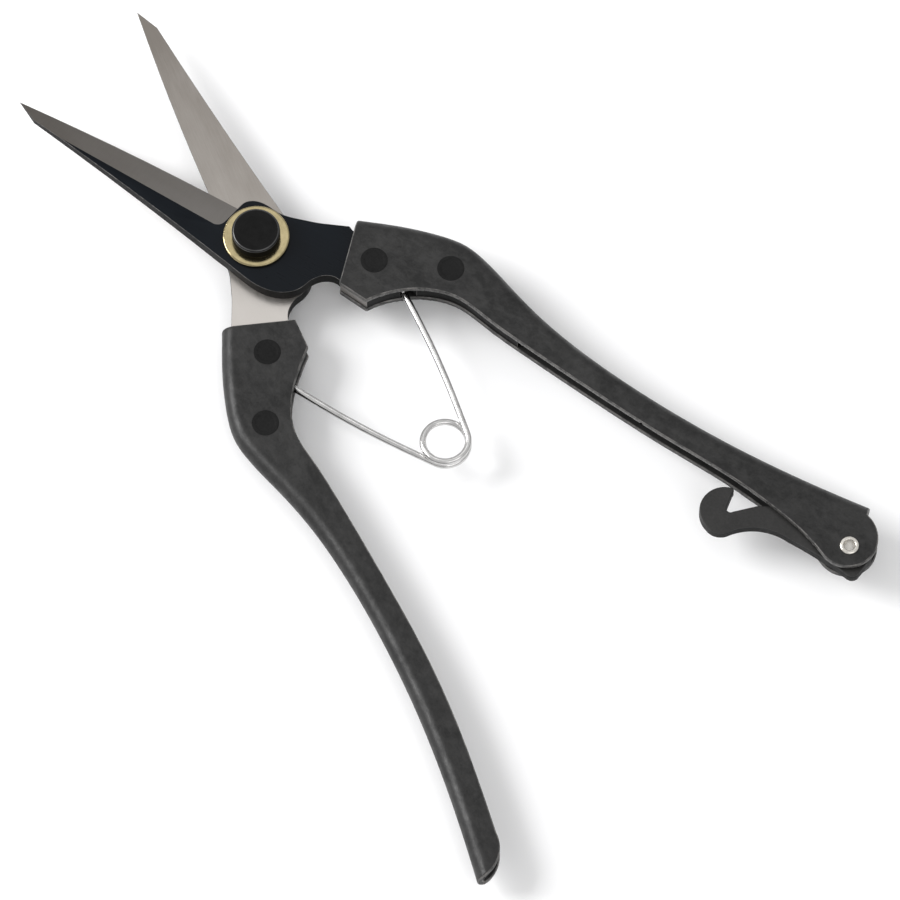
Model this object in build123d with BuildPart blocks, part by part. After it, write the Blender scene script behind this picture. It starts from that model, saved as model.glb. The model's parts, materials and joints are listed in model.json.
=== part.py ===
"""Floral snips: two like halves turned over on each other, held apart by a coil spring.

Each half is a forged blade whose tang is riveted into a handle folded from sheet. A half is
drawn in its own frame: x from the pivot towards the handle's end, y towards the folded outer
side, z away from the other blade, with z = 0 on the blade's inner face.
"""
from build123d import *
from math import asin, atan2, cos, degrees, hypot, radians, sin
import os

os.makedirs("parts", exist_ok=True)

# ---- Driving dimensions, in millimetres and degrees ---------------------------------------

open_angle = 37.56  # between the two halves with the spring relaxed
close_travel = 31.8  # how far one half turns to shut

blade_thickness = 3.0
blade_gap = 0.1  # between the inner faces of the two blades
blade_length = 55.15  # pivot to tip, along the half
tip_rise = 3.0  # the tip, off the half's x axis
edge_bow = 4.2  # the cutting edge at mid length, off the x axis
edge_thickness = 0.3
bevel_width = 6.0
tip_thickness = 1.6
taper_x = -8.0  # where the blade's outer face starts to fall towards the tip
heel_x = -6.0  # where the ground bevel ends
heel_y = 4.5
heel_lean = 12.0  # the bevel's end, off square to the half
heel_round = 2.0

sheet = 1.2  # handle sheet
fold_flat = 0.2  # left between the fold's two bends
handle_length = 136.6  # pivot to the plain handle's end
wall_short = 7.2  # how much sooner the latch handle's outer wall ends
front_stagger = 0.45  # the latch handle's front edge stands this far back, the plain one's forward
bolster_x = 24.75  # the corners where the shut handles meet
bolster_gap = 0.2
bolster_stagger = 0.25  # the latch handle's corner stands this far in, the plain one's out
tang_recess = 0.35  # the tang's grip side, inside the sheets' edges
tang_end = 54.3
tang_tail = 16.5

rivet_front = (22.3, 6.75)
rivet_rear = (35.9, 12.6)
rivet_head_radius = 2.65
rivet_shank_radius = 1.9
rivet_sink = 0.7  # depth of the countersunk head
rivet_dimple = 0.15
rivet_fit = 0.04

bolt_radius = 2.5
bolt_fit = 0.02  # radial, where nothing turns
bolt_running_fit = 0.05  # radial, in the blade that turns
bolt_head_radius = 4.65
bolt_head_height = 2.6
bolt_head_edge = 0.3
bolt_end_proud = 0.5
brass_washer_radius = 6.45
brass_washer_thickness = 0.8
lower_washer_radius = 5.0
lower_washer_thickness = 0.8
washer_running_gap = 0.06
nut_flats = 8.0
nut_height = 2.7

wire_radius = 0.65
coil_radius = 4.35  # to the middle of the wire
spring_seat = (29.4, 5.3)  # the wire's turned-up end, in its notch in the tang
coil_reach = 55.25  # pivot to the coil's centre
leg_height = 1.0  # the spring's straight leg above the blade's inner face
leg_bend = 1.0
seat_fit = 0.12
seat_mouth = 0.5  # side play of the leg in the mouth of its notch
coil_corners = 6  # in each half of the coil
pin_gap = 0.25  # between the wire's end and the sheet over it

eyelet_inset = 6.7  # eyelet to the plain handle's end, along the half
eyelet_y = 0.4
eyelet_bore_radius = 1.1
eyelet_tube_radius = 1.45
eyelet_flange_radius = 1.85
eyelet_flange = 0.35
eyelet_fit = 0.02
eyelet_running_fit = 0.05
latch_side_gap = 0.25  # between the latch and each sheet
latch_boss_radius = 4.6
lobe_radius = 6.0
hook_inset = 3.2  # where the shut hook catches, from the plain handle's end

# ---- Places worked out from them ----------------------------------------------------------

half_open = open_angle / 2
half_shut = half_open - close_travel / 2
handle_depth = blade_thickness + 2 * sheet
fold_radius = (handle_depth - fold_flat) / 2
underside = bolt_end_proud + nut_height + lower_washer_thickness + washer_running_gap
inner_face = underside + blade_thickness + blade_gap / 2  # mid plane between the blades


def half_plane(turn, facing):
    """The frame of one half: its x axis turned from +X, its z axis up or down."""
    return Plane(
        origin=(0, 0, inner_face + facing * blade_gap / 2),
        x_dir=(cos(radians(turn)), sin(radians(turn)), 0),
        z_dir=(0, 0, facing),
    )


latch_half = half_plane(180 + half_open, 1)
plain_half = half_plane(180 - half_open, -1)

# The shut handles meet at the bolster corners, which stand this far off the x axis.
bolster_y = bolster_gap / 2 - bolster_x * sin(radians(half_shut))
front_y = bolster_y + 0.4

# Beyond the finger stop the handle's curves are spread over the length that is left.
stop_end = 57.0


def along(share):
    return stop_end + share * (handle_length - stop_end)


fold_points = [
    (14.4, 13.0),
    (22.5, 16.15),
    (30.5, 18.4),
    (34.9, 19.0),
    (39.5, 18.35),
    (48.0, 15.5),
    (stop_end, 12.65),
    (along(0.14), 10.4),
    (along(0.34), 8.65),
    (along(0.57), 8.1),
    (along(0.78), 8.85),
    (along(1.0), 10.6),
]
grip_points = [
    (31.0, 4.75),
    (36.3, 7.35),
    (40.2, 8.0),
    (46.0, 7.2),
    (stop_end, 5.6),
    (along(0.24), 3.55),
    (along(0.41), 2.45),
]
front_inner = (18.45, front_y)
front_outer = (14.5, 13.0)
outside = 30.0  # beyond the fold, where an outline may close

eyelet_x = handle_length - eyelet_inset
wall_end = handle_length - wall_short

with BuildLine() as fold_line:
    Spline(*fold_points)


def inset_fold(inset, spans=28):
    """Points along the fold line, moved in from the outer side by inset."""
    points = []
    for number in range(spans + 1):
        place = fold_line.line @ (number / spans)
        heading = fold_line.line % (number / spans)
        points.append(place + Vector(heading.Y, -heading.X) * inset)
    return points


tang_inset = fold_radius + 0.05
tang_corner, tang_shoulder = inset_fold(tang_inset)[:2]

# Shut, the plain handle's outer wall stands this far from the eyelet, and the hook reaches it.
catch = fold_line.line @ (1 - hook_inset / fold_line.edge().length)
catch_across = (eyelet_y + catch.Y - sheet) * cos(radians(half_shut))
catch_spread = (eyelet_x + catch.X) * sin(radians(half_shut))
hook_reach = hypot(catch_across + catch_spread, catch.X - eyelet_x)

# Pivot, seats and coil make a kite: as it shuts, each leg turns on its seat and the coil winds up.
seat_reach = hypot(*spring_seat)
seat_turn = degrees(atan2(spring_seat[1], spring_seat[0]))
coil_x = coil_reach * cos(radians(half_open))
coil_y = -coil_reach * sin(radians(half_open))
leg_reach = hypot(coil_x - spring_seat[0], coil_y - spring_seat[1])
leg_centre_turn = degrees(atan2(coil_y - spring_seat[1], coil_x - spring_seat[0]))
leg_turn = leg_centre_turn + degrees(asin(coil_radius / leg_reach))


def kite_turn(half_angle):
    """Between a leg and the line that halves the snips, turned this far from it."""
    return degrees(asin(seat_reach * sin(radians(half_angle + seat_turn)) / leg_reach))


leg_wind = kite_turn(half_open) - kite_turn(half_shut)
leg_swing = close_travel / 2 + leg_wind  # of each leg on its seat


# ---- Handles --------------------------------------------------------------------------------


def blank_face(inset=0.0):
    """Sheet blank inside the fold line, run on past both ends and far across the open side."""
    run_on = 12.0
    with BuildSketch() as blank:
        with BuildLine():
            fold = Spline(*inset_fold(inset))
            nose = Line(fold @ 0, fold @ 0 - (fold % 0) * run_on)
            tail = Line(fold @ 1, fold @ 1 + (fold % 1) * run_on)
            Polyline(nose @ 1, ((nose @ 1).X, -outside), ((tail @ 1).X, -outside), tail @ 1)
        make_face()
    return blank.sketch


def plain_outline():
    """Side view of the plain handle, open across the fold."""
    with BuildSketch() as outline:
        with BuildLine():
            grip = Spline(
                bolster_corner(-1),
                *grip_points,
                (along(0.6), 2.2),
                (along(0.77), 2.9),
                (along(0.91), 3.85),
            )
            end = ThreePointArc(grip @ 1, (handle_length - 1.9, 5.8), (handle_length, 9.2))
            close_outline(grip @ 0, end @ 1, -1)
        make_face()
    return outline.sketch


def latch_outline():
    """Side view of the latch handle, with the lobes that hold the eyelet."""
    lobe_x = eyelet_x - 1.0
    with BuildSketch() as outline:
        with BuildLine():
            grip = Spline(
                bolster_corner(1),
                *grip_points,
                (along(0.585), 1.6),
                (along(0.71), 0.2),
                (eyelet_x - 9.0, -1.5),
                (eyelet_x - 3.7, -3.6),
            )
            under = ThreePointArc(grip @ 1, (lobe_x + 3.9, -2.7), (lobe_x + lobe_radius - 0.2, 1.5))
            over = ThreePointArc(under @ 1, (lobe_x + 4.7, 5.0), (wall_end + 0.4, 7.7))
            step = Line(over @ 1, (wall_end, 9.0))
            close_outline(grip @ 0, step @ 1, 1)
        make_face()
    return outline.sketch


def bolster_corner(stagger):
    """Where the handle meets the other one: stagger is 1 for the latch handle, -1 for the plain."""
    return (bolster_x + stagger * front_stagger, bolster_y - stagger * bolster_stagger)


def close_outline(grip_start, end_top, stagger):
    """The handle's front edge and its run outside the fold, back to the end."""
    lean = (front_outer[0] - front_inner[0]) / (front_outer[1] - front_inner[1])
    front_x = front_inner[0] + stagger * front_stagger
    front_top = (front_x + lean * (outside - front_y), outside)
    Polyline(grip_start, (front_x, front_y), front_top, (end_top.X, outside), end_top)


def channel_void(half):
    """What a handle's folded sheet leaves open inside, as a solid to cut away."""
    with BuildPart() as void:
        with BuildSketch(half):
            add(blank_face(sheet))
        extrude(amount=blade_thickness)
        fold_edges = void.edges().filter_by(lambda edge: edge.geom_type != GeomType.LINE)
        fillet(fold_edges, fold_radius - sheet)
    return void.part


def handle(half, outline, rivets, with_eyelet=False):
    """One handle: sheet folded round the outer side, open along the grip side."""
    void = channel_void(half)
    with BuildPart() as shell:
        with BuildSketch(half.offset(-sheet)):
            add(blank_face())
        extrude(amount=handle_depth)
        fold_edges = shell.edges().filter_by(lambda edge: edge.geom_type != GeomType.LINE)
        fillet(fold_edges, fold_radius)
        add(void, mode=Mode.SUBTRACT)
        with BuildSketch(half.offset(-sheet)):
            add(outline)
        extrude(amount=handle_depth, mode=Mode.INTERSECT)
        for rivet in rivets:
            add(rivet, mode=Mode.SUBTRACT)
        if with_eyelet:
            with BuildSketch(half.offset(-sheet)):
                with Locations((eyelet_x, eyelet_y)):
                    Circle(eyelet_tube_radius + eyelet_fit)
            extrude(amount=handle_depth, mode=Mode.SUBTRACT)
    return shell


# ---- Blades ---------------------------------------------------------------------------------


def tang_face(outline):
    """The part of a blade inside its handle, with the narrow tail at its end."""
    with BuildSketch() as tang:
        add(blank_face(tang_inset))
        with Locations((0, tang_recess)):
            add(outline, mode=Mode.INTERSECT)
        with BuildLine():
            Polyline(
                (tang_corner.X, outside),
                (tang_corner.X, -outside),
                (tang_end, -outside),
                (tang_end, 7.5),
                (tang_end + tang_tail, 5.6),
                (tang_end + tang_tail, outside),
                close=True,
            )
        make_face(mode=Mode.INTERSECT)
    return tang.sketch


def blade_face():
    """The part of a blade in front of its handle, from the tip to the neck behind the pivot."""
    tip = (-blade_length, tip_rise)
    with BuildSketch() as face:
        with BuildLine():
            edge = ThreePointArc(tip, (-blade_length * 0.6, edge_bow), (heel_x, heel_y))
            shoulder = Spline(
                edge @ 1,
                (-5.5, 5.6),
                (-4.5, 6.4),
                (-2.3, 6.95),
                (1.2, 6.7),
                (5.9, 7.75),
                (8.6, 8.6),
                (11.4, 9.75),
                (14.3, 11.0),
            )
            neck = Polyline(
                shoulder @ 1,
                (tang_corner.X, tang_corner.Y),
                (tang_shoulder.X, tang_shoulder.Y),
                (front_inner[0] + 1.2, front_y + tang_recess),
            )
            notch = Spline(neck @ 1, (16.3, 0.1), (14.7, -1.0), (13.3, -3.5))
            hump = Spline(notch @ 1, (10.8, -7.1), (7.0, -8.5), (1.0, -8.05), (-4.0, -7.1))
            spine = ThreePointArc(hump @ 1, (-blade_length * 0.5, -2.9), (4.7 - blade_length, 0.6))
            Line(spine @ 1, tip)
        make_face()
    return face.sketch


def bevel_void(half):
    """What grinding the bevel takes off a blade's outer face, as a solid to cut away."""
    margin = 8.0
    heel = Vector(heel_x, heel_y)
    along_edge = (Vector(-blade_length, tip_rise) - heel).normalized()
    to_spine = Vector(-along_edge.Y, along_edge.X)
    rise = blade_thickness - edge_thickness
    edge_point = half.from_local_coords(heel + Vector(0, 0, edge_thickness))
    up_slope = half.from_local_coords(heel + to_spine * bevel_width + Vector(0, 0, blade_thickness))
    down_edge = half.from_local_coords(heel + along_edge + Vector(0, 0, edge_thickness))
    ground = Plane(
        origin=edge_point,
        x_dir=down_edge - edge_point,
        z_dir=(down_edge - edge_point).cross(up_slope - edge_point),
    )
    heel_line = Vector(-sin(radians(heel_lean)), -cos(radians(heel_lean)))
    corner = heel + heel_line * (bevel_width / heel_line.dot(to_spine))
    run_out = along_edge * (blade_length + margin)
    with BuildPart() as void:
        with BuildSketch(half):
            with BuildLine() as region:
                Polyline(
                    corner + run_out,
                    corner,
                    heel - heel_line * margin,
                    heel - heel_line * margin + run_out,
                    close=True,
                )
                fillet(region.vertices().sort_by_distance(corner)[0], heel_round)
            make_face()
        extrude(amount=blade_thickness + rise)
        split(bisect_by=ground, keep=Keep.TOP)
    return void.part


def taper_void(half):
    """What a blade's outer face loses towards the tip, as a solid to cut away."""
    fall = (blade_thickness - tip_thickness) / (blade_length + taper_x)
    far = blade_length + 5.0
    with BuildPart() as void:
        with BuildSketch(section_plane(half, 0, 0)):
            with BuildLine():
                Polyline(
                    (taper_x, blade_thickness),
                    (-far, blade_thickness - fall * (far + taper_x)),
                    (-far, blade_thickness + 1.0),
                    close=True,
                )
            make_face()
        extrude(amount=outside, both=True)
    return void.part


def blade(half, outline, rivets, pivot_fit):
    """A blade with its tang, pivot hole, spring notch, tapered outer face and ground bevel."""
    bevel = bevel_void(half)
    taper = taper_void(half)
    with BuildPart() as steel:
        with BuildSketch(half):
            add(blade_face())
            add(tang_face(outline))
            Circle(bolt_radius + pivot_fit, mode=Mode.SUBTRACT)
            add(seat_notch(), mode=Mode.SUBTRACT)
        extrude(amount=blade_thickness)
        add(taper, mode=Mode.SUBTRACT)
        add(bevel, mode=Mode.SUBTRACT)
        for rivet in rivets:
            add(rivet, mode=Mode.SUBTRACT)
    return steel


def seat_notch():
    """Notch in the tang's grip side: round where the wire's end turns, wide where its leg swings."""
    reach = 6.0
    with BuildSketch() as notch:
        with Locations(spring_seat):
            Circle(wire_radius + seat_fit)
        for turn in (leg_turn, leg_turn + leg_swing):
            mouth_x = spring_seat[0] + reach * cos(radians(turn))
            mouth_y = spring_seat[1] + reach * sin(radians(turn))
            with Locations((mouth_x, mouth_y)):
                Circle(wire_radius + seat_mouth)
        make_hull()
    return notch.sketch


# ---- Rivets, pivot and eyelet ---------------------------------------------------------------


def section_plane(half, x, y):
    """Plane through an upright axis of a half: its x is the radius, its y the half's z."""
    return Plane(origin=half.from_local_coords((x, y, 0)), x_dir=half.x_dir, z_dir=-half.y_dir)


def rivet(half, place, gap=0.0):
    """A rivet with a countersunk, slightly dished head at each end, or the hole for it."""
    low = -sheet
    high = blade_thickness + sheet
    dish = rivet_dimple if gap == 0 else 0.0
    head = rivet_head_radius + gap
    shank = rivet_shank_radius + gap
    section = section_plane(half, *place)
    with BuildPart() as pin:
        with BuildSketch(section):
            with BuildLine():
                Polyline(
                    (0, low + dish),
                    (head * 0.6, low + dish),
                    (head * 0.85, low),
                    (head, low),
                    (shank, low + rivet_sink),
                    (shank, high - rivet_sink),
                    (head, high),
                    (head * 0.85, high),
                    (head * 0.6, high - dish),
                    (0, high - dish),
                    close=True,
                )
            make_face()
        revolve(axis=Axis(section.origin, half.z_dir))
    return pin


def pivot_bolt():
    """Round-headed bolt, head up, standing through both blades."""
    head_seat = inner_face + blade_gap / 2 + blade_thickness + brass_washer_thickness
    with BuildPart() as bolt:
        with BuildSketch():
            Circle(bolt_radius)
        extrude(amount=head_seat)
        chamfer(bolt.faces().sort_by(Axis.Z)[0].edges(), 0.4)
        with BuildSketch(Plane.XY.offset(head_seat)):
            Circle(bolt_head_radius)
        extrude(amount=bolt_head_height)
        chamfer(bolt.faces().sort_by(Axis.Z)[-1].edges(), bolt_head_edge)
    return bolt


def washer(bottom, radius, thickness, edge):
    """Flat washer round the bolt."""
    with BuildPart() as ring:
        with BuildSketch(Plane.XY.offset(bottom)):
            Circle(radius)
            Circle(bolt_radius + bolt_fit, mode=Mode.SUBTRACT)
        extrude(amount=thickness)
        rim = ring.edges().filter_by(lambda e: e.geom_type == GeomType.CIRCLE and e.radius > radius - 0.01)
        fillet(rim.sort_by(Axis.Z)[-1], edge)
    return ring


def pivot_nut():
    """Hexagon nut under the lower blade, its corners turned off at both faces."""
    corner_radius = nut_flats / 2 / cos(radians(30))
    with BuildPart() as round_blank:
        with BuildSketch(Plane.XY.offset(bolt_end_proud)):
            Circle(corner_radius)
        extrude(amount=nut_height)
        chamfer(round_blank.edges(), 0.3, 0.5)
    with BuildPart() as nut:
        with BuildSketch(Plane.XY.offset(bolt_end_proud)):
            RegularPolygon(corner_radius, 6)
            Circle(bolt_radius + bolt_fit, mode=Mode.SUBTRACT)
        extrude(amount=nut_height)
        add(round_blank.part, mode=Mode.INTERSECT)
    return nut


def latch_eyelet(half):
    """Tubular eyelet through the latch handle, rolled over at both ends."""
    low = -sheet
    high = blade_thickness + sheet
    section = section_plane(half, eyelet_x, eyelet_y)
    with BuildPart() as eyelet:
        with BuildSketch(section):
            with BuildLine():
                Polyline(
                    (eyelet_bore_radius, high + eyelet_flange / 2),
                    (eyelet_bore_radius, low - eyelet_flange / 2),
                )
                for base, side in ((low, -1), (high, 1)):
                    rim = base + side * eyelet_flange
                    ThreePointArc(
                        (eyelet_bore_radius, base + side * eyelet_flange / 2),
                        (eyelet_bore_radius + 0.05, base + side * eyelet_flange * 0.85),
                        (eyelet_bore_radius + 0.3, rim),
                    )
                    ThreePointArc(
                        (eyelet_bore_radius + 0.3, rim),
                        (eyelet_flange_radius - 0.1, base + side * eyelet_flange * 0.7),
                        (eyelet_flange_radius, base),
                    )
                    Line((eyelet_flange_radius, base), (eyelet_tube_radius, base))
                Line((eyelet_tube_radius, low), (eyelet_tube_radius, high))
            make_face()
        revolve(axis=Axis(section.origin, half.z_dir))
    return eyelet


# ---- Latch and spring -----------------------------------------------------------------------


def latch(half):
    """Flat hook that turns on the eyelet between the latch handle's sheets."""
    hook = -hook_reach
    boss_corner = latch_boss_radius * cos(radians(45))
    pivot = half.from_local_coords((eyelet_x, eyelet_y, latch_side_gap))
    with BuildPart() as plate:
        with BuildSketch(Plane(origin=pivot, x_dir=half.x_dir, z_dir=half.z_dir)):
            with BuildLine():
                back = ThreePointArc((hook - 2.4, -0.15), (hook - 6.1, -4.6), (hook - 2.85, -9.45))
                chin = ThreePointArc(back @ 1, (hook - 0.6, -9.75), (hook + 1.4, -8.5))
                belly = ThreePointArc(chin @ 1, (hook + 5.0, -5.25), (hook + 11.8, -3.85))
                under = ThreePointArc(belly @ 1, (-3.3, -4.2), (2.3, -4.9))
                corner = ThreePointArc(under @ 1, (3.5, -4.6), (4.1, -3.4))
                heel = Line(corner @ 1, (latch_boss_radius, 0))
                boss = ThreePointArc(heel @ 1, (boss_corner, boss_corner), (0, latch_boss_radius))
                top = ThreePointArc(boss @ 1, (-9.0, 3.1), (hook + 3.8, -0.85))
                throat = Line(top @ 1, (hook + 0.2, -4.3))
                root = ThreePointArc(throat @ 1, (hook - 0.6, -4.75), (hook - 1.3, -3.9))
                mouth = Line(root @ 1, (hook - 1.75, -1.0))
                ThreePointArc(mouth @ 1, (hook - 1.85, -0.35), back @ 0)
            make_face()
            Circle(eyelet_tube_radius + eyelet_running_fit, mode=Mode.SUBTRACT)
        extrude(amount=blade_thickness - 2 * latch_side_gap)
    return plate


def spring_half(half):
    """Half of the spring: the wire's turned-up end, its leg, and the coil as far as its middle."""
    half_wind = 270 + leg_turn + half_open  # the coil ends square to the line that halves the snips
    step = half_wind / coil_corners
    corner_radius = coil_radius / cos(radians(step / 2))
    route = [
        (*spring_seat, blade_thickness - pin_gap),
        (*spring_seat, leg_height),
    ]
    for number in range(coil_corners):
        wound = step * (number + 0.5)
        bearing = radians(leg_turn + 90 - wound)
        height = leg_height * cos(radians(90 * wound / half_wind))
        route.append(
            (coil_x + corner_radius * cos(bearing), coil_y + corner_radius * sin(bearing), height)
        )
    last = radians(leg_turn + 90 - half_wind)
    mid_height = -blade_gap / 2
    route.append((coil_x + coil_radius * cos(last), coil_y + coil_radius * sin(last), mid_height))
    places = [half.from_local_coords(point) for point in route]
    with BuildPart() as wire:
        with BuildLine() as path:
            FilletPolyline(*places, radius=[leg_bend] + [0.9 * coil_radius] * coil_corners)
        with BuildSketch(Plane(origin=path.line @ 0, z_dir=path.line % 0)):
            Circle(wire_radius)
        sweep(path=path.line)
    return wire


# ---- The pieces -----------------------------------------------------------------------------

halves = {"latch": (latch_half, latch_outline()), "plain": (plain_half, plain_outline())}
pieces = {}
for side, (half, outline) in halves.items():
    holes = [rivet(half, place, rivet_fit).part for place in (rivet_front, rivet_rear)]
    blade_name = "upper_blade" if side == "latch" else "lower_blade"
    pivot_fit = bolt_fit if side == "latch" else bolt_running_fit
    pieces[blade_name] = blade(half, outline, holes, pivot_fit)
    pieces[f"{side}_handle"] = handle(half, outline, holes, with_eyelet=side == "latch")
    pieces[f"{side}_handle_front_rivet"] = rivet(half, rivet_front)
    pieces[f"{side}_handle_rear_rivet"] = rivet(half, rivet_rear)

pieces["pivot_bolt"] = pivot_bolt()
pieces["brass_washer"] = washer(
    inner_face + blade_gap / 2 + blade_thickness, brass_washer_radius, brass_washer_thickness, 0.35
)
pieces["lower_washer"] = washer(
    bolt_end_proud + nut_height, lower_washer_radius, lower_washer_thickness, 0.15
)
pieces["pivot_nut"] = pivot_nut()
pieces["latch_eyelet"] = latch_eyelet(latch_half)
pieces["latch"] = latch(latch_half)
pieces["spring_upper"] = spring_half(latch_half)
pieces["spring_lower"] = spring_half(plain_half)

for name, piece in pieces.items():
    piece.part.label = name
    export_step(piece.part, f"parts/{name}.step")

seat = latch_half.from_local_coords((*spring_seat, 0))
eyelet = latch_half.from_local_coords((eyelet_x, eyelet_y, 0))
print(f"mid plane z {inner_face:.3f}")
print(f"spring seat {seat.X:.3f} {seat.Y:.3f}, coil centre {-coil_reach:.3f}")
print(f"eyelet {eyelet.X:.3f} {eyelet.Y:.3f}")
print(f"hook reach {hook_reach:.2f}, bolster y {bolster_y:.3f}, leg turn {leg_turn:.2f}")
print(f"seat joint ratio {leg_swing / close_travel:.4f}, coil joint ratio {-2 * leg_wind / close_travel:.4f}")
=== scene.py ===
"""Looks of the floral snips: materials, eased edges, the wire spring, studio and camera."""
import json
from math import asin, atan2, cos, hypot, pi, radians, sin

import bpy
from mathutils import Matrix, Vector


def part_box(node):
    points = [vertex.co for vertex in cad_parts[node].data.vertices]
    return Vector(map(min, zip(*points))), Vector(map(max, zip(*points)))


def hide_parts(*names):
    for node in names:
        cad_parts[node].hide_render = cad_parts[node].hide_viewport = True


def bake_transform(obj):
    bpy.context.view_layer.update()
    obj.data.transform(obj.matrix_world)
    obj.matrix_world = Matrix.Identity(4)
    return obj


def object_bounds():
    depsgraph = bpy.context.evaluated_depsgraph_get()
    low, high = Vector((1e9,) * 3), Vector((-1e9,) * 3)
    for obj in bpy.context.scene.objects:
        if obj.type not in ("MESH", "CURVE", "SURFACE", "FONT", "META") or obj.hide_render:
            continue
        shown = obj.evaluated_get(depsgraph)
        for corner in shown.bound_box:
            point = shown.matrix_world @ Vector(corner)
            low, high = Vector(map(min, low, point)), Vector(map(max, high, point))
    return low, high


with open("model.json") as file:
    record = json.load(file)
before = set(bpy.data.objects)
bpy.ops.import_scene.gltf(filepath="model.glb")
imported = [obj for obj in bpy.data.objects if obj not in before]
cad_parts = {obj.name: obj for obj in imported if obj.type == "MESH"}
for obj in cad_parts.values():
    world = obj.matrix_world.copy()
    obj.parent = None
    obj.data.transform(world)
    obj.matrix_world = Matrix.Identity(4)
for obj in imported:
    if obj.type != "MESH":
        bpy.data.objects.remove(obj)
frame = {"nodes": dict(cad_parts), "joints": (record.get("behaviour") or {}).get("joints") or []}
cad_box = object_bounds()
nodes = frame["nodes"]
MM = 0.001

# ---- Places read from the frame -------------------------------------------------------------


def joint_place(name):
    """The point that a joint turns about, at rest."""
    joint = next(j for j in frame["joints"] if j["name"] == name)
    return Vector(joint["pos_m"])


pivot = joint_place("blade_pivot")
seat = joint_place("spring_seat_pivot")
coil = joint_place("spring_coil_pivot")
eyelet = joint_place("latch_pivot")

half_open = radians(18.78)  # each half's x axis, off the line that halves the snips
latch_turn = pi + half_open
plain_turn = pi - half_open
blade_thickness = 3.0 * MM
bolster_near, bolster_far = 18.4 * MM, 24.6 * MM  # the bolster's reach from the pivot

# ---- Node helpers ---------------------------------------------------------------------------


class Shader:
    """A material's node tree, with short calls for the nodes that these materials use."""

    def __init__(self, name):
        self.material = bpy.data.materials.new(name)
        self.material.use_nodes = True
        self.tree = self.material.node_tree
        self.surface = self.tree.nodes["Principled BSDF"]
        self.place = self.add("ShaderNodeTexCoord").outputs["Object"]

    def add(self, kind, **inputs):
        """A node with its inputs set to numbers or linked to other nodes' outputs."""
        made = self.tree.nodes.new(kind)
        for name, value in inputs.items():
            self.set(made, name.replace("_", " "), value)
        return made

    def put(self, socket, value):
        """Links another node's output to a socket, or sets the socket's own value."""
        if isinstance(value, bpy.types.NodeSocket):
            self.tree.links.new(value, socket)
        else:
            socket.default_value = value

    def set(self, made, name, value):
        self.put(made.inputs[name], value)

    def base(self, **inputs):
        """Sets the surface's own sockets."""
        for name, value in inputs.items():
            self.set(self.surface, name.replace("_", " "), value)

    def stretched(self, scale, turn=0.0, origin=(0, 0, 0)):
        """Object coordinates about origin, in millimetres, turned about z, then scaled."""
        moved = self.add("ShaderNodeMapping", Vector=self.place)
        moved.vector_type = "TEXTURE"
        moved.inputs["Location"].default_value = origin
        moved.inputs["Rotation"].default_value = (0, 0, turn)
        moved.inputs["Scale"].default_value = [MM / s for s in scale]
        return moved.outputs["Vector"]

    def noise(self, vector, scale=1.0, detail=3.0, rough=0.55, distortion=0.0):
        made = self.add("ShaderNodeTexNoise", Vector=vector, Scale=scale, Detail=detail)
        made.inputs["Roughness"].default_value = rough
        made.inputs["Distortion"].default_value = distortion
        return made.outputs["Fac"]

    def math(self, operation, a, b=0.0):
        made = self.tree.nodes.new("ShaderNodeMath")
        made.operation = operation
        for socket, value in zip(made.inputs, (a, b)):
            self.put(socket, value)
        return made.outputs[0]

    def blend(self, *shares):
        """The sum of values, each times its weight."""
        parts = [self.math("MULTIPLY", value, weight) for value, weight in shares]
        total = parts[0]
        for part in parts[1:]:
            total = self.math("ADD", total, part)
        return total

    def specular(self, level):
        self.surface.inputs["Specular IOR Level"].default_value = level

    def spread(self, value, low, high, to_low=0.0, to_high=1.0):
        """value's stretch from low to high, put onto to_low to to_high and clamped."""
        made = self.add("ShaderNodeMapRange", Value=value)
        made.inputs["From Min"].default_value = low
        made.inputs["From Max"].default_value = high
        made.inputs["To Min"].default_value = to_low
        made.inputs["To Max"].default_value = to_high
        return made.outputs["Result"]

    def mix(self, share, dark, light):
        made = self.tree.nodes.new("ShaderNodeMix")
        made.data_type = "RGBA"
        for name, value in (("Factor", share), ("A", dark), ("B", light)):
            socket = next(s for s in made.inputs if s.name == name and s.enabled)
            self.put(socket, value if name == "Factor" else (*value, 1.0))
        return next(s for s in made.outputs if s.enabled)

    def clear_of(self, centres, reach):
        """1 away from the upright lines through the centres, 0 within reach of one."""
        share = 1.0
        for centre in centres:
            gap = self.add("ShaderNodeVectorMath")
            gap.operation = "DISTANCE"
            self.tree.links.new(self.across(self.place), gap.inputs[0])
            gap.inputs[1].default_value = (centre[0], centre[1], 0)
            share = self.math("MULTIPLY", share, self.spread(gap.outputs["Value"], reach, 1.04 * reach))
        return share

    def across(self, vector):
        """A vector with its height left out."""
        made = self.add("ShaderNodeVectorMath")
        made.operation = "MULTIPLY"
        self.tree.links.new(vector, made.inputs[0])
        made.inputs[1].default_value = (1, 1, 0)
        return made.outputs["Vector"]

    def bump(self, height, depth, strength=1.0):
        made = self.add("ShaderNodeBump", Height=height, Distance=depth, Strength=strength)
        self.base(Normal=made.outputs["Normal"])


def grey(level, warmth=0.0):
    """A near-neutral linear colour: warmth above 0 leans to red, below 0 to blue."""
    return (level * (1 + warmth), level, level * (1 - warmth))


# ---- Materials ------------------------------------------------------------------------------


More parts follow.
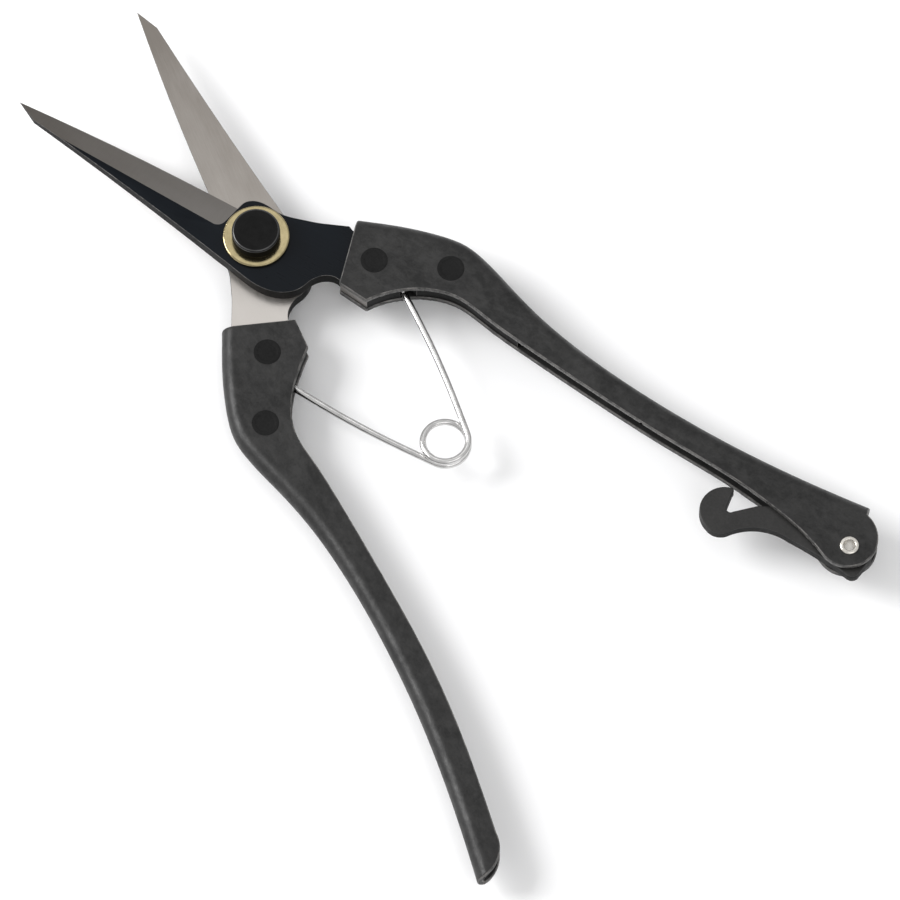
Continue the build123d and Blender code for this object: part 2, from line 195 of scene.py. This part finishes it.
def handle_coat(name, turn):
    """Charcoal stoved coating over drawn sheet: cloudy patches, fine orange peel, faint streaks."""
    m = Shader(name)
    clouds = m.noise(m.stretched((0.16, 0.22, 0.22), turn), detail=4.0, rough=0.6, distortion=0.8)
    patches = m.noise(m.stretched((0.55, 0.8, 0.8), turn), detail=5.0, rough=0.65, distortion=0.4)
    peel = m.noise(m.stretched((2.3, 2.3, 2.3)), detail=4.0, rough=0.6)
    tone = m.blend((clouds, 0.45), (patches, 0.4), (peel, 0.15))
    m.base(Base_Color=m.mix(m.spread(tone, 0.40, 0.60), grey(0.0056, 0.01), grey(0.0225, 0.015)))
    m.base(Roughness=m.spread(tone, 0.40, 0.60, 0.52, 0.36))
    m.specular(0.33)
    m.bump(m.blend((peel, 0.6), (patches, 0.4)), depth=0.1 * MM, strength=0.35)
    return m.material


def worn_edge(name, coat_level, bare_level, kept=()):
    """A coated edge rubbed through in places to the steel, but not round the kept centres."""
    kept_reach = 3.4 * MM
    m = Shader(name)
    rubbed = m.noise(m.stretched((0.45, 0.45, 0.45)), detail=5.0, rough=0.7)
    share = m.spread(rubbed, 0.40, 0.62)
    if kept:
        share = m.math("MULTIPLY", share, m.clear_of(kept, kept_reach))
    m.base(Base_Color=m.mix(share, grey(coat_level, 0.02), grey(bare_level, 0.04)))
    m.base(Metallic=m.math("MULTIPLY", share, 0.85))
    m.base(Roughness=m.spread(share, 0.0, 1.0, 0.45, 0.33))
    m.bump(m.noise(m.stretched((4.0, 4.0, 4.0)), detail=3.0), depth=0.03 * MM, strength=0.3)
    return m.material


def cut_sheet(name):
    """The sheared edge of the sheet: a burnished band and a rougher torn one, thinly coated."""
    m = Shader(name)
    shear = m.noise(m.stretched((2.6, 2.6, 0.35)), detail=4.0, rough=0.65)
    m.base(Base_Color=m.mix(m.spread(shear, 0.35, 0.65), grey(0.035, 0.02), grey(0.12, 0.03)))
    m.base(Metallic=m.spread(shear, 0.4, 0.65, 0.1, 0.6))
    m.base(Roughness=m.spread(shear, 0.35, 0.65, 0.5, 0.36))
    m.bump(shear, depth=0.06 * MM, strength=0.4)
    return m.material


def blade_coat(name, turn):
    """Thin blue-black coating on the forging, smooth, with faint rub marks along the blade."""
    m = Shader(name)
    cloud = m.noise(m.stretched((0.09, 0.16, 0.16), turn), detail=4.0, rough=0.5)
    rub = m.noise(m.stretched((0.12, 3.2, 3.2), turn), detail=3.0, rough=0.6)
    tone = m.blend((cloud, 0.7), (rub, 0.3))
    m.base(Base_Color=m.mix(m.spread(tone, 0.36, 0.66), (0.0018, 0.0030, 0.0048), (0.0044, 0.0062, 0.0090)))
    m.base(Roughness=m.spread(tone, 0.36, 0.66, 0.26, 0.38))
    m.specular(0.115)
    m.bump(m.noise(m.stretched((1.4, 1.4, 1.4)), detail=3.0), depth=0.03 * MM, strength=0.2)
    return m.material


def ground_steel_painted_sheen(name, turn, low, high, knee, rough, lengthwise):
    """Bare ground steel with fine grinding lines, darker and warmer towards the blade's tip.

    knee is the share of the way from low to high that is reached just short of the pivot. The ramp from low
    at the tip to high at the neck is painted reflection, standing in for the soft light's reflection that is
    brighter near the pivot.
    """
    m = Shader(name)
    lines_scale = (0.25, 9.0, 9.0) if lengthwise else (9.0, 0.25, 0.25)
    tip, short_of_pivot, neck = -55.0, -4.0, 12.0
    lines = m.noise(m.stretched(lines_scale, turn), detail=4.0, rough=0.7)
    cloud = m.noise(m.stretched((0.07, 0.14, 0.14), turn), detail=4.0, rough=0.5)
    tone = m.blend((cloud, 0.55), (lines, 0.45))
    split = m.add("ShaderNodeSeparateXYZ", Vector=m.stretched((1, 1, 1), turn))
    run = split.outputs["X"]
    # Painted reflection: the colour brightens from the tip to the neck, in place of the soft light's
    # reflection near the pivot.
    painted_sheen_to_pivot = m.spread(run, tip, short_of_pivot, 0.0, knee)
    painted_sheen_past_pivot = m.spread(run, short_of_pivot, neck, 0.0, 1 - knee)
    share = m.math("ADD", painted_sheen_to_pivot, painted_sheen_past_pivot)
    share = m.math("ADD", share, m.spread(tone, 0.36, 0.64, -0.12, 0.12))
    m.base(Base_Color=m.mix(share, grey(low, 0.10), grey(high, 0.055)))
    m.base(Metallic=1.0, Roughness=m.spread(lines, 0.3, 0.7, rough - 0.05, rough + 0.08))
    m.bump(lines, depth=0.02 * MM, strength=0.22)
    return m.material


def turned_metal(name, centre, low, high, metallic, rough, specular=0.5, depth=0.01 * MM):
    """Metal turned on a lathe: fine rings about a centre, and a slight haze."""
    ring = 7.0
    m = Shader(name)
    radius = m.add("ShaderNodeVectorMath")
    radius.operation = "LENGTH"
    m.tree.links.new(m.across(m.stretched((1, 1, 1), origin=centre)), radius.inputs[0])
    spun = m.add("ShaderNodeCombineXYZ", X=radius.outputs["Value"])
    rings = m.noise(spun.outputs["Vector"], scale=ring, detail=3.0, rough=0.6)
    haze = m.noise(m.stretched((0.5, 0.5, 0.5)), detail=4.0, rough=0.6)
    tone = m.blend((rings, 0.5), (haze, 0.5))
    m.base(Base_Color=m.mix(m.spread(tone, 0.36, 0.64), low, high))
    m.base(Metallic=metallic, Roughness=m.spread(tone, 0.36, 0.64, rough + 0.07, rough - 0.03))
    m.specular(specular)
    m.bump(rings, depth, strength=0.3)
    return m.material


def satin_black(name, low, high, rough, grain, depth, specular=0.2, warmth=0.0):
    """Plain satin black coating with a fine grain."""
    m = Shader(name)
    fine = m.noise(m.stretched((grain,) * 3), detail=4.0, rough=0.6)
    broad = m.noise(m.stretched((0.18,) * 3), detail=3.0)
    tone = m.blend((fine, 0.5), (broad, 0.5))
    m.base(Base_Color=m.mix(m.spread(tone, 0.36, 0.64), grey(low, warmth), grey(high, warmth)))
    m.base(Roughness=m.spread(tone, 0.36, 0.64, rough + 0.08, rough - 0.04))
    m.specular(specular)
    m.bump(fine, depth, strength=0.3)
    return m.material


def bright_wire(name):
    """Drawn spring wire, bright, with fine die lines."""
    m = Shader(name)
    drawn = m.noise(m.stretched((0.5, 0.5, 5.0)), detail=4.0, rough=0.6)
    m.base(Base_Color=m.mix(m.spread(drawn, 0.35, 0.65), grey(0.52, 0.01), grey(0.68, 0.01)))
    m.base(Metallic=1.0, Roughness=m.spread(drawn, 0.35, 0.65, 0.24, 0.15))
    return m.material


coat_of = {
    "latch": handle_coat("latch_side_coat", latch_turn),
    "plain": handle_coat("plain_side_coat", plain_turn),
}
rivets = [f"{side}_handle_{end}_rivet" for side in ("latch", "plain") for end in ("front", "rear")]
rivet_places = [(corners[0] + corners[1]) / 2 for corners in map(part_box, rivets)]
handle_wear = worn_edge("handle_worn_edge", coat_level=0.025, bare_level=0.17, kept=rivet_places)
handle_cut = cut_sheet("handle_cut_edge")
blade_wear = worn_edge("blade_worn_edge", coat_level=0.02, bare_level=0.20)
# Painted shade: the blades' sides get a darker, duller copy of the coat, standing in for the shade on them.
blade_side = satin_black("blade_side_painted_shade", 0.002, 0.005, 0.5, grain=2.5, depth=0.02 * MM, specular=0.08)

# ---- CAD nodes: who is made of what ----------------------------------------------------------

HANDLE_COAT, HANDLE_CUT, HANDLE_WORN = range(3)
BLADE_COAT, BLADE_INNER, BLADE_BEVEL, BLADE_WORN, BLADE_SHADED_SIDE = range(5)
BOLT_FACE, BOLT_RIM, BOLT_SHADED_SIDE = range(3)
LATCH_FACE, LATCH_SHADED_SIDE = range(2)


def paint(node, materials, choose=None):
    """Gives a CAD node its materials; choose(centre, normal) picks one for each polygon."""
    mesh = nodes[node].data
    mesh.materials.clear()
    for material in materials:
        mesh.materials.append(material)
    for polygon in mesh.polygons:
        polygon.use_smooth = True
        polygon.material_index = choose(polygon.center, polygon.normal) if choose else 0
    if "custom_normal" in mesh.attributes:
        mesh.attributes.remove(mesh.attributes["custom_normal"])


def ease_edges(node, width, material=-1, angle=32):
    """Small rounds on a CAD node's sharp edges, in the material slot given."""
    piece = nodes[node]
    weld = piece.modifiers.new("weld", "WELD")
    weld.merge_threshold = 1e-6
    flat = piece.modifiers.new("flat", "DECIMATE")
    flat.decimate_type = "DISSOLVE"
    flat.angle_limit = radians(0.4)
    flat.delimit = {"MATERIAL"}
    round_off = piece.modifiers.new("ease", "BEVEL")
    round_off.width = width
    round_off.segments = 2
    round_off.limit_method = "ANGLE"
    round_off.angle_limit = radians(angle)
    round_off.use_clamp_overlap = False
    round_off.material = material
    even = piece.modifiers.new("normals", "WEIGHTED_NORMAL")
    even.keep_sharp = False
    even.weight = 80


def handle_parts(centre, normal):
    """Coat on the sheet's faces and fold, sheared steel on its cut edges."""
    in_sheet = abs(centre.z - pivot.z) > blade_thickness
    return HANDLE_CUT if abs(normal.z) < 0.25 and in_sheet else HANDLE_COAT


def blade_parts(facing):
    """Bare inner face, coated outside, ground bevel, and sides bare only at the bolster."""

    def choose(centre, normal):
        outward = normal.z * facing
        if outward < -0.99:
            return BLADE_INNER
        if abs(outward) < 0.5:
            at_bolster = centre.x < 0 and bolster_near < hypot(centre.x, centre.y) < bolster_far
            # Sides away from the bolster take the painted shade, a darker, duller copy of the coat.
            return BLADE_BEVEL if at_bolster else BLADE_SHADED_SIDE
        return BLADE_BEVEL if 0.85 < outward < 0.97 else BLADE_COAT

    return choose


halves = (("latch", latch_turn, 1, "upper_blade"), ("plain", plain_turn, -1, "lower_blade"))
for side, turn, facing, blade in halves:
    paint(f"{side}_handle", [coat_of[side], handle_cut, handle_wear], handle_parts)
    ease_edges(f"{side}_handle", 0.24 * MM, material=HANDLE_WORN, angle=50)
    coated = blade_coat(f"{side}_blade_coat", turn)
    # Inner face and bevel both carry the painted reflection ramp, brighter towards the pivot.
    inner = ground_steel_painted_sheen(f"{side}_blade_inner", turn, 0.225, 0.53, knee=0.36, rough=0.34, lengthwise=True)
    bevel = ground_steel_painted_sheen(f"{side}_blade_bevel", turn, 0.125, 0.26, knee=0.9, rough=0.36, lengthwise=False)
    paint(blade, [coated, inner, bevel, blade_wear, blade_side], blade_parts(facing))
    ease_edges(blade, 0.06 * MM, material=BLADE_WORN)

for rivet in rivets:
    rivet_black = satin_black(f"{rivet}_black", 0.004, 0.009, 0.38, grain=2.5, depth=0.03 * MM, specular=0.14)
    paint(rivet, [rivet_black])
    ease_edges(rivet, 0.08 * MM, angle=20)

axis_place = (0, 0, 0)
bolt_black = turned_metal(
    "bolt_black", axis_place, grey(0.003), grey(0.008), 0.0, 0.36, specular=0.085, depth=0.02 * MM
)
bolt_rim = turned_metal("bolt_rim", axis_place, grey(0.03), grey(0.07), 0.6, 0.30)
# Painted shade: the head's sides get a darker, less glossy copy of its black, standing in for the shade that
# falls on them.
bolt_side = satin_black("bolt_side_painted_shade", 0.0015, 0.003, 0.5, grain=2.5, depth=0.02 * MM, specular=0.03)
paint(
    "pivot_bolt",
    [bolt_black, bolt_rim, bolt_side],
    lambda centre, normal: BOLT_SHADED_SIDE if abs(normal.z) < 0.5 else BOLT_FACE,
)
ease_edges("pivot_bolt", 0.14 * MM, material=BOLT_RIM)
brass = turned_metal("washer_brass", axis_place, (0.28, 0.235, 0.128), (0.41, 0.345, 0.2), 1.0, 0.14)
paint("brass_washer", [brass])
ease_edges("brass_washer", 0.08 * MM)
zinc = turned_metal("zinc_plate", axis_place, (0.44, 0.45, 0.47), (0.60, 0.60, 0.60), 1.0, 0.34)
for node in ("lower_washer", "pivot_nut"):
    paint(node, [zinc])
    ease_edges(node, 0.12 * MM)
nickel = turned_metal("eyelet_nickel", eyelet, (0.66, 0.63, 0.58), (0.80, 0.77, 0.72), 1.0, 0.20)
paint("latch_eyelet", [nickel])
ease_edges("latch_eyelet", 0.04 * MM)
latch_face = satin_black(
    "latch_black", 0.011, 0.022, 0.38, grain=2.2, depth=0.04 * MM, specular=0.38, warmth=0.03
)
# Painted shade: the latch's sides get a darker, less glossy copy of its black, standing in for the shade on
# them.
latch_side = satin_black("latch_side_painted_shade", 0.004, 0.009, 0.5, grain=2.2, depth=0.04 * MM, specular=0.1)
paint(
    "latch",
    [latch_face, latch_side],
    lambda centre, normal: LATCH_SHADED_SIDE if abs(normal.z) < 0.5 else LATCH_FACE,
)
ease_edges("latch", 0.22 * MM, material=LATCH_FACE)

# ---- The wire spring ------------------------------------------------------------------------

wire_radius = 0.65 * MM
coil_radius = 4.35 * MM
leg_offset = 1.05 * MM  # each leg's height above or below the mid plane
pin_top = 2.80 * MM  # the wire's end, off the mid plane
leg_bow = 0.6 * MM
pin_bend = 1.0 * MM  # the turn from the upright end into the leg


def spring_path():
    """The wire's centre line, from its end in the latch handle to its end in the plain handle."""
    pin_steps, bend_steps, leg_steps, wind_steps = 4, 6, 24, 88
    mid = Vector((coil.x, coil.y, pivot.z))
    to_coil = Vector((coil.x, coil.y, 0)) - Vector((seat.x, seat.y, 0))
    leg_angle = atan2(to_coil.y, to_coil.x) + asin(coil_radius / to_coil.length)
    leg_length = (to_coil.length ** 2 - coil_radius ** 2) ** 0.5
    along = Vector((cos(leg_angle), sin(leg_angle), 0))
    outward = Vector((-along.y, along.x, 0))
    height = pivot.z + leg_offset
    first = []
    for step in range(pin_steps):
        drop = (pin_top - leg_offset - pin_bend) * step / pin_steps
        first.append(Vector((seat.x, seat.y, pivot.z + pin_top - drop)))
    for step in range(bend_steps + 1):
        angle = pi / 2 * step / bend_steps
        flat = pin_bend * (1 - cos(angle))
        first.append(Vector((seat.x, seat.y, height + pin_bend * (1 - sin(angle)))) + along * flat)
    for step in range(1, leg_steps + 1):
        run = pin_bend + (leg_length - pin_bend) * step / leg_steps
        bow = leg_bow * sin(pi * (run - pin_bend) / (leg_length - pin_bend))
        first.append(Vector((seat.x, seat.y, height)) + along * run + outward * bow)
    half_wind = leg_angle + pi / 2
    wound = []
    for step in range(1, wind_steps):
        share = step / wind_steps
        bearing = half_wind * (1 - 2 * share)
        lift = leg_offset * cos(pi * share)
        wound.append(mid + Vector((coil_radius * cos(bearing), coil_radius * sin(bearing), lift)))
    last = [Vector((p.x, -p.y, 2 * pivot.z - p.z)) for p in reversed(first)]
    return first + wound + last


def tube(name, path, radius, sides=20):
    """A round wire swept along a path, its two ends slightly rounded."""
    heading = [(path[min(i + 1, len(path) - 1)] - path[max(i - 1, 0)]).normalized() for i in range(len(path))]
    side = heading[0].orthogonal().normalized()
    rings = []
    for place, ahead in zip(path, heading):
        side = (side - ahead * side.dot(ahead)).normalized()
        rings.append((place, side, ahead.cross(side), radius))
    nose, nose_radius = 0.18 * radius, 0.8 * radius
    start, end = rings[0], rings[-1]
    rings.insert(0, (start[0] - heading[0] * nose, start[1], start[2], nose_radius))
    rings.append((end[0] + heading[-1] * nose, end[1], end[2], nose_radius))
    places = []
    for place, side, across, reach in rings:
        for spoke in range(sides):
            angle = 2 * pi * spoke / sides
            places.append(place + (side * cos(angle) + across * sin(angle)) * reach)
    faces = []
    for ring in range(len(rings) - 1):
        for spoke in range(sides):
            here, after = ring * sides + spoke, ring * sides + (spoke + 1) % sides
            faces.append((here, after, after + sides, here + sides))
    faces.append(tuple(reversed(range(sides))))
    faces.append(tuple(range((len(rings) - 1) * sides, len(rings) * sides)))
    mesh = bpy.data.meshes.new(name)
    mesh.from_pydata(places, [], faces)
    mesh.validate()
    for polygon in mesh.polygons:
        polygon.use_smooth = len(polygon.vertices) == 4
    made = bpy.data.objects.new(name, mesh)
    bpy.context.scene.collection.objects.link(made)
    return made


spring = tube("wire_spring", spring_path(), wire_radius)
spring.data.materials.append(bright_wire("spring_bright"))
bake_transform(spring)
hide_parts("spring_upper", "spring_lower")

# ---- Studio ---------------------------------------------------------------------------------


def floor():
    """A plain pale floor just under the lowest point."""
    half = 3.0
    mesh = bpy.data.meshes.new("floor")
    z = cad_box[0].z
    corners = [(-half, -half, z), (half, -half, z), (half, half, z), (-half, half, z)]
    mesh.from_pydata(corners, [], [(0, 1, 2, 3)])
    made = bpy.data.objects.new("floor", mesh)
    bpy.context.scene.collection.objects.link(made)
    m = Shader("floor_pale")
    m.base(Base_Color=(0.93, 0.93, 0.935, 1), Roughness=0.9)
    m.specular(0.1)
    mesh.materials.append(m.material)


def soft_light(name, azimuth, elevation, distance, size, power, aim):
    """A square soft light that faces aim from a bearing in the floor plane."""
    data = bpy.data.lights.new(name, "AREA")
    data.shape = "SQUARE"
    data.size = size
    data.energy = power
    made = bpy.data.objects.new(name, data)
    turn, rise = radians(azimuth), radians(elevation)
    back = Vector((cos(turn) * cos(rise), sin(turn) * cos(rise), sin(rise))) * distance
    made.location = aim + back
    made.rotation_euler = (-back).to_track_quat("-Z", "Y").to_euler()
    bpy.context.scene.collection.objects.link(made)


def sky():
    """Even pale surroundings, a little darker towards the horizon."""
    world = bpy.data.worlds.new("studio")
    world.use_nodes = True
    tree = world.node_tree
    place = tree.nodes.new("ShaderNodeTexCoord")
    split = tree.nodes.new("ShaderNodeSeparateXYZ")
    spread = tree.nodes.new("ShaderNodeMapRange")
    tree.links.new(place.outputs["Generated"], split.inputs["Vector"])
    tree.links.new(split.outputs["Z"], spread.inputs["Value"])
    for name, value in (("From Min", 0.0), ("From Max", 1.0), ("To Min", 0.6), ("To Max", 0.76)):
        spread.inputs[name].default_value = value
    background = tree.nodes["Background"]
    background.inputs["Color"].default_value = (1.0, 1.0, 1.0, 1.0)
    tree.links.new(spread.outputs["Result"], background.inputs["Strength"])
    bpy.context.scene.world = world


def camera():
    """A long lens at the viewing angle, centred on the open snips."""
    data = bpy.data.cameras.new("camera")
    data.lens = 315.0
    data.sensor_width = 36.0
    data.clip_start, data.clip_end = 0.05, 20.0
    made = bpy.data.objects.new("camera", data)
    bearing, elevation, distance = radians(-131.225), radians(66.8), 1.5
    aim = Vector((pivot.x - 57.0 * MM, pivot.y + 0.42 * MM, pivot.z))
    back = Vector((sin(bearing) * cos(elevation), -cos(bearing) * cos(elevation), sin(elevation)))
    made.location = aim + back * distance
    made.rotation_euler = (-back).to_track_quat("-Z", "Y").to_euler()
    bpy.context.scene.collection.objects.link(made)
    bpy.context.scene.camera = made


middle = (cad_box[0] + cad_box[1]) / 2
floor()
sky()
behind_pivot = pivot - Vector((30 * MM, 0, 0))
soft_light("key_light", 38, 36, distance=1.1, size=0.6, power=12.0, aim=middle)
soft_light("fill_light", 165, 50, distance=1.4, size=0.9, power=2.5, aim=middle)
soft_light("blade_light", -41, 67, distance=0.42, size=0.14, power=0.05, aim=behind_pivot)
camera()
bpy.context.scene.view_settings.view_transform = "Standard"
